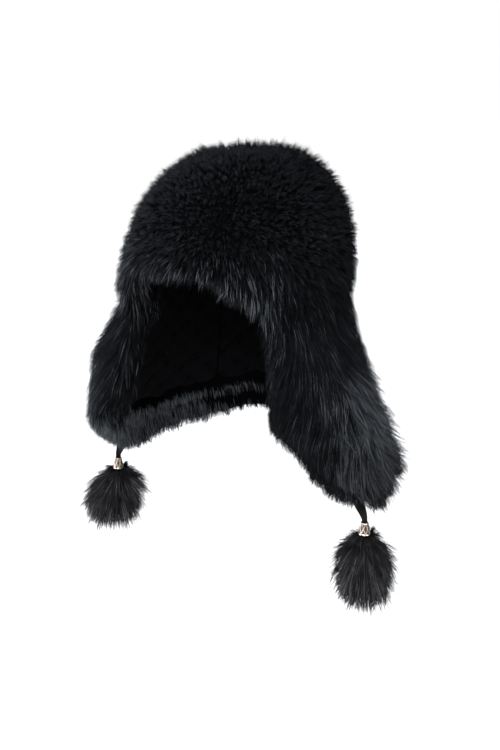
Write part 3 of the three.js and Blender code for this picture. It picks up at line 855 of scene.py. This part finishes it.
def tassel_top(knot, rng):
    """Hairs from the bead's mouth that fall over the pompom's top, and a small tuft that stands up."""
    count = TOP_HAIRS + TUFT_HAIRS
    standing = np.arange(count) >= TOP_HAIRS
    around = rng.uniform(0, 2 * math.pi, count)
    radial = np.stack([np.cos(around), np.sin(around), np.zeros(count)], 1)
    level = radial + (0, 0, 0.1) + rng.normal(scale=0.2, size=radial.shape)
    upright = np.array(TUFT_WAY) + rng.normal(scale=0.16, size=radial.shape)
    out = unit(np.where(standing[:, None], upright, level))
    foot = np.where(standing[:, None], np.array(TUFT_FOOT), radial * MOUTH_RADIUS)
    length = np.where(standing, 0.011, 0.021) * rng.uniform(0.7, 1.15, count)
    lean = np.where(standing, 0.0, math.radians(80)) * rng.uniform(0.4, 1.3, count)
    lines = lay(knot + MOUTH_RISE + foot, out, falling(count), lean * 0.1, lean, length, np.zeros(count), 3)
    tone = np.clip(rng.normal(0.4, 0.2, count), 0, 1)
    return lines, thickness(TOP_RADIUS, count, rng), tone, rng


print("hairs over each top:", TOP_HAIRS + TUFT_HAIRS)

# %% Hairs round the pompoms
POMPOM_HAIRS = 4600
POMPOM_LOCK = 8
POMPOM_RADIUS = 0.00023


def tassel_sides(roots, normals, knot, rng):
    """Hairs on the core that sweep away from the knot and fall, with some strays."""
    count = len(roots)
    low = smoothstep(knot[2] - roots[:, 2], 0.0, 0.06)
    wild = rng.random(count) ** 5
    out = unit(unit(roots - knot) + normals * 0.25 + rng.normal(scale=0.07, size=normals.shape))
    length = (0.03 - 0.015 * low) * rng.uniform(0.75, 1.1, count)
    lean = np.full(count, math.radians(10))
    start = roots - normals * ROOT_DEPTH
    lines = lay(start, out, falling(count), lean, lean * 3.5, length, np.zeros(count), 3)
    lines, lock = into_locks(lines, count // POMPOM_LOCK, 0.3 * (1 - wild), rng)
    along = np.linspace(0, 1, 3)[None, :, None]
    stray = (lines - lines[:, :1]) * 0.45 + normals[:, None] * along * 0.01
    lines = kept_in_room(lines + wild[:, None, None] * stray)
    lock_tone = rng.uniform(-0.25, 0.25, count)[lock]
    tone = np.clip(rng.normal(0.5 + 0.25 * low, 0.2, count) + lock_tone, 0, 1)
    return lines, thickness(POMPOM_RADIUS, count, rng), tone, rng


def pompom(side, seed):
    knot = knot_of(side)
    tuft = Skin(pompom_core(side, knot))
    rng = np.random.default_rng(seed)
    near_knot = np.exp(-((np.linalg.norm(tuft.middle - knot, axis=1) / 0.012) ** 2))
    roots, normals = tuft.scatter(1 + 6 * near_knot, POMPOM_HAIRS, rng)
    batches = [tassel_sides(roots, normals, knot, rng), tassel_top(knot, rng)]
    return hair_piece(f"pompom_{side}_hair", batches, pompom_hair)


pompom("left", 500)
pompom("right", 600)

# %% [markdown]
# The lining is padded cloth, quilted so that its filling stays in place. Cloth simulation would
# puff it, but little of it shows and it lies tight on the wall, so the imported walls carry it: their
# seams are closed, the mesh is subdivided, and the inner face swells between the stitches.

# %% Lining cloth
CLOTH_DARK = (0.0014, 0.0014, 0.0017, 1)
CLOTH_PALE = (0.0036, 0.0036, 0.0043, 1)
STITCH_DARK = (0.0004, 0.0004, 0.0005, 1)
THREAD_SCALE = 420.0


def lining_finish():
    finish = Finish("lining_cloth", Specular_IOR_Level=0.03)
    place = finish.place()
    threads = [
        finish.add(
            "ShaderNodeTexWave",
            {"wave_type": "BANDS", "bands_direction": axis},
            {"Vector": place, "Scale": THREAD_SCALE, "Distortion": 0.6, "Detail": 1.0},
            out="Fac",
        )
        for axis in ("X", "Z")
    ]
    weave = threads[0] * 0.5 + threads[1] * 0.5
    stitch = finish.attribute("stitch")
    worn = finish.noise(place, 35)
    colour = finish.blend(weave * 0.6 + worn * 0.4, CLOTH_DARK, CLOTH_PALE)
    finish.feed("Base Color", finish.blend(stitch, colour, STITCH_DARK))
    finish.feed("Roughness", 0.8 + worn * 0.2)
    finish.bump(weave * 0.4 - stitch, 0.0006)
    return finish.material


lining_cloth = lining_finish()
print("finish:", lining_cloth.name)

# %% Quilted lining over each wall
QUILT_RADIUS = 0.088
DIAGONAL = 1.414
QUILT_PITCH = 0.021
QUILT_SWELL = 0.0016
SEAM_REACH = 0.0014
CROWN_CENTRE_Z = -0.1
FLAT_ENOUGH = math.radians(179)


def quilt(points):
    """0 on a stitch line and 1 at the middle of a pad, in diamonds round the hat."""
    around = turn_of(points) * QUILT_RADIUS
    rise = points[:, 2]
    a = np.abs(np.sin((around + rise) * math.pi / QUILT_PITCH / DIAGONAL))
    b = np.abs(np.sin((around - rise) * math.pi / QUILT_PITCH / DIAGONAL))
    return (a * b) ** 0.6


def closed_wall(wall):
    """A wall of four-sided faces, whose edges meet the walls beside it, subdivided."""
    bm = packed_copy([wall])
    others = tree_of([w for w in WALLS if w != wall])
    for v in bm.verts:
        point, _, _, gap = others.find_nearest(v.co)
        if gap < SEAM_REACH:
            v.co = (v.co + point) / 2
    limits = {"angle_face_threshold": FLAT_ENOUGH, "angle_shape_threshold": FLAT_ENOUGH}
    bmesh.ops.join_triangles(bm, faces=bm.faces, **limits)
    mesh = bpy.data.meshes.new(wall)
    bm.to_mesh(mesh)
    bm.free()
    return with_modifier(mesh, "SUBSURF", levels=2, render_levels=2)


def lining(wall):
    mesh = closed_wall(wall)
    co = numbers(mesh.vertices, "co", float, 3)
    normal = numbers(mesh.vertices, "normal", float, 3)
    centre = np.stack([0 * co[:, 0], 0 * co[:, 0], np.minimum(co[:, 2], CROWN_CENTRE_Z)], 1)
    inside = smoothstep(-(normal * unit(co - centre)).sum(1), 0.3, 0.7)
    pad = quilt(co)
    co += normal * (inside * pad * QUILT_SWELL)[:, None]
    mesh.vertices.foreach_set("co", co.astype(np.float32).ravel())
    stitch = mesh.attributes.new("stitch", "FLOAT", "POINT").data
    stitch.foreach_set("value", (inside * (1 - smoothstep(pad, 0.05, 0.3))).astype(np.float32))
    mesh.update()
    piece = place_mesh(wall.replace("_shell", "_lining"), mesh, lining_cloth)
    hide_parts(wall)
    print(piece.name, len(mesh.polygons), "faces")
    return piece


for wall in WALLS:
    lining(wall)

# %% [markdown]
# The ties are flat straps cut from thin leather. A curve with a bevel would give a round cord, so a
# rounded flat section is set at stations along the strap's way, from the flap's edge down through
# the bead to the pompom, and the stations are bridged.

# %% Leather
LEATHER_DARK = (0.003, 0.0025, 0.0024, 1)
LEATHER_PALE = (0.008, 0.0065, 0.006, 1)
LEATHER_EDGE = (0.014, 0.01, 0.008, 1)
GRAIN_SCALE = 1400.0


def leather_finish():
    finish = Finish("strap_leather", Specular_IOR_Level=0.12)
    place = finish.place()
    grain = finish.add("ShaderNodeTexVoronoi", {"feature": "F1"}, {"Vector": place, "Scale": GRAIN_SCALE})
    worn = finish.noise(place, 160)
    edge = finish.attribute("edge")
    colour = finish.blend(worn, LEATHER_DARK, LEATHER_PALE)
    finish.feed("Base Color", finish.blend(edge * 0.6, colour, LEATHER_EDGE))
    finish.feed("Roughness", 0.42 + worn * 0.2)
    finish.bump(grain * 0.6 + worn * 0.4, 0.0003)
    return finish.material


strap_leather = leather_finish()
print("finish:", strap_leather.name)

# %% Straps
STRAP_THICK = 0.0014
STRAP_WAY = (
    # x, y, z, width, of the strap on the wearer's left
    (0.1397, -0.0168, -0.2920, 0.0120),
    (0.1448, -0.0169, -0.3053, 0.0110),
    (0.1500, -0.0170, -0.3155, 0.0072),
    (0.1510, -0.0170, -0.3205, 0.0050),
    (0.1510, -0.0170, -0.3385, 0.0050),
)
STRAP_TURN = Matrix.Rotation(math.radians(-45), 3, "Z")
STRAP_STEPS = 5
STRAP_SIDES = 16


def strap_stations(sign):
    """Points and widths along a strap, with its bends eased."""
    way = np.array(STRAP_WAY) * (sign, 1, 1, 1)
    shares = np.linspace(0, len(way) - 1, (len(way) - 1) * STRAP_STEPS + 1)
    stations = np.stack([np.interp(shares, range(len(way)), way[:, i]) for i in range(4)], 1)
    for _ in range(3):
        stations[1:-1] = (stations[:-2] + 2 * stations[1:-1] + stations[2:]) / 4
    return stations


def strap_ring(bm, edge, x, y, z, width):
    """A circle pressed into a flat section with round corners. Returns its edges."""
    ring = bmesh.ops.create_circle(bm, segments=STRAP_SIDES, radius=0.5)["verts"]
    for v in ring:
        across, through = 2 * v.co.y, 2 * v.co.x
        across = math.copysign(abs(across) ** 0.35, across)
        through = math.copysign(abs(through) ** 0.6, through)
        v[edge] = float(smoothstep(abs(across), 0.8, 1.0))
        flat = Vector((through * STRAP_THICK / 2, across * width / 2, 0))
        v.co = STRAP_TURN @ flat + Vector((x, y, z))
    return list({e for v in ring for e in v.link_edges})


def strap(side, sign):
    """A flat strap: one rounded section, carried from station to station."""
    bm = bmesh.new()
    edge = bm.verts.layers.float.new("edge")
    loops = [strap_ring(bm, edge, *station) for station in strap_stations(sign)]
    for above, below in zip(loops, loops[1:]):
        bmesh.ops.bridge_loops(bm, edges=above + below)
    for end in (loops[0], loops[-1]):
        bmesh.ops.contextual_create(bm, geom=end)
    bmesh.ops.recalc_face_normals(bm, faces=bm.faces)
    mesh = bpy.data.meshes.new(f"tie_strap_{side}_leather")
    bm.to_mesh(mesh)
    bm.free()
    piece = place_mesh(f"tie_strap_{side}_leather", mesh, strap_leather)
    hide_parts(f"tie_strap_{side}")
    print(piece.name, len(mesh.polygons), "faces")
    return piece


strap("left", 1)
strap("right", -1)

# %% [markdown]
# The beads are cast in pale metal: tapered sleeves with a raised diagonal lattice between two rims,
# dark where polish doesn't reach. A bump alone would leave the rim of a bead smooth, so the
# sleeve's section is spun round and the lattice is pushed out of the mesh.

# %% Cast metal
METAL_DARK = (0.09, 0.045, 0.032, 1)
METAL_BRIGHT = (0.74, 0.68, 0.57, 1)


def bead_finish():
    finish = Finish("bead_metal", Metallic=1.0)
    raised = finish.attribute("raised")
    spots = finish.noise(finish.place(), 500)
    high = (raised + (spots - 0.5) * 0.5).at_least(0.0).at_most(1.0)
    finish.feed("Base Color", finish.blend(high, METAL_DARK, METAL_BRIGHT))
    finish.feed("Roughness", 0.5 - high * 0.28)
    finish.bump(spots, 0.0002)
    return finish.material


bead_metal = bead_finish()
print("finish:", bead_metal.name)

# %% Beads
BEAD_X = 0.151
BEAD_Y = -0.017
BEAD_TOP = -0.3215
BEAD_TALL = 0.012
BEAD_NARROW = 0.0040
BEAD_WIDE = 0.0061
BEAD_BORE = 0.0029
BEAD_ROWS = 28
BEAD_SIDES = 64
BEAD_WIRES = 7
BEAD_SLANT = 7.0
RELIEF = 0.0006
BORE_EDGE = BEAD_BORE + 0.0002


def bead_sleeve(bm):
    """A tapered sleeve round the middle: its section is spun."""
    bottom = BEAD_TOP - BEAD_TALL
    steps = [i / BEAD_ROWS for i in range(BEAD_ROWS + 1)]
    taper = BEAD_WIDE - BEAD_NARROW
    outline = [(BEAD_NARROW - RELIEF + taper * s, BEAD_TOP - BEAD_TALL * s) for s in steps]
    section = [bm.verts.new((r, 0, z)) for r, z in outline]
    section += [bm.verts.new((BEAD_BORE, 0, z)) for z in (bottom, (bottom + BEAD_TOP) / 2, BEAD_TOP)]
    edges = [bm.edges.new((a, b)) for a, b in zip(section, section[1:] + section[:1])]
    bmesh.ops.spin(
        bm,
        geom=section + edges,
        cent=(0, 0, 0),
        axis=(0, 0, 1),
        angle=2 * math.pi,
        steps=BEAD_SIDES,
        use_merge=True,
    )
    bmesh.ops.remove_doubles(bm, verts=bm.verts, dist=1e-6)
    bmesh.ops.recalc_face_normals(bm, faces=bm.faces)


def bead_relief(around, down):
    """How high the lattice and the two rims stand here, from 0 to 1."""
    wires = [abs(math.sin((BEAD_WIRES * around + slant * BEAD_SLANT * down) / 2)) for slant in (1, -1)]
    lattice = max(1 - float(smoothstep(w, 0.12, 0.42)) for w in wires)
    rim = 1 - float(smoothstep(min(down, 1 - down), 0.06, 0.11))
    return max(lattice * 0.85, rim)


def bead(side, sign):
    bm = bmesh.new()
    bead_sleeve(bm)
    raised = bm.verts.layers.float.new("raised")
    for v in bm.verts:
        r = math.hypot(v.co.x, v.co.y)
        if r < BORE_EDGE:
            continue
        v[raised] = bead_relief(math.atan2(v.co.y, v.co.x), (BEAD_TOP - v.co.z) / BEAD_TALL)
        grown = (r + RELIEF * v[raised]) / r
        v.co.x *= grown
        v.co.y *= grown
    bmesh.ops.translate(bm, verts=bm.verts, vec=(sign * BEAD_X, BEAD_Y, 0))
    mesh = bpy.data.meshes.new(f"bead_{side}_cast")
    bm.to_mesh(mesh)
    bm.free()
    piece = place_mesh(f"bead_{side}_cast", mesh, bead_metal)
    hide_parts(f"bead_{side}")
    print(piece.name, len(mesh.polygons), "faces")
    return piece


bead("left", 1)
bead("right", -1)

# %% [markdown]
# Black fur is shown on plain white. A floor and surround lit until they look white would throw so
# much light back that the fur turned grey, so both look white to the camera only, and light the hat
# far less than they show. The floor lies just under the pompoms.

# %% Surround
SURROUND_SEEN = 1.0
SURROUND_FELT = 0.06


def plain_surround():
    world = bpy.data.worlds.new("surround")
    world.use_nodes = True
    graph = Graph(world.node_tree)
    white = {"Color": (1, 1, 1, 1)}
    felt = graph.add("ShaderNodeBackground", None, {**white, "Strength": SURROUND_FELT})
    seen = graph.add("ShaderNodeBackground", None, {**white, "Strength": SURROUND_SEEN})
    camera_ray = graph.add("ShaderNodeLightPath", out="Is Camera Ray")
    chosen = graph.add("ShaderNodeMixShader", None, {0: camera_ray, 1: felt, 2: seen})
    graph.put(graph.nodes["World Output"].inputs["Surface"], chosen)
    return world


bpy.context.scene.world = plain_surround()
print("surround:", bpy.context.scene.world.name)

# %% Floor
FLOOR_Z = -0.43
FLOOR_PAINT = 0.6
FLOOR_GLOW = 0.97


def floor_paint():
    """A pale floor that looks white, keeps a faint shadow and throws little light back up."""
    grey = (FLOOR_PAINT, FLOOR_PAINT, FLOOR_PAINT, 1)
    finish = Finish("floor_paint", Base_Color=grey, Roughness=0.9)
    felt = Wire(finish, finish.shader.outputs[0])
    glow = finish.add("ShaderNodeEmission", None, {"Strength": FLOOR_GLOW})
    seen = finish.add("ShaderNodeAddShader", None, {0: felt, 1: glow})
    camera_ray = finish.add("ShaderNodeLightPath", out="Is Camera Ray")
    chosen = finish.add("ShaderNodeMixShader", None, {0: camera_ray, 1: felt, 2: seen})
    finish.put(finish.nodes["Material Output"].inputs["Surface"], chosen)
    return finish.material


floor_bm = bmesh.new()
bmesh.ops.create_grid(floor_bm, x_segments=1, y_segments=1, size=40)
bmesh.ops.translate(floor_bm, verts=floor_bm.verts, vec=(0, 0, FLOOR_Z))
floor_mesh = bpy.data.meshes.new("floor")
floor_bm.to_mesh(floor_mesh)
floor_bm.free()
floor_mesh.materials.append(floor_paint())
floor = bpy.data.objects.new("floor", floor_mesh)
bpy.context.scene.collection.objects.link(floor)
print("floor at", FLOOR_Z, "m")
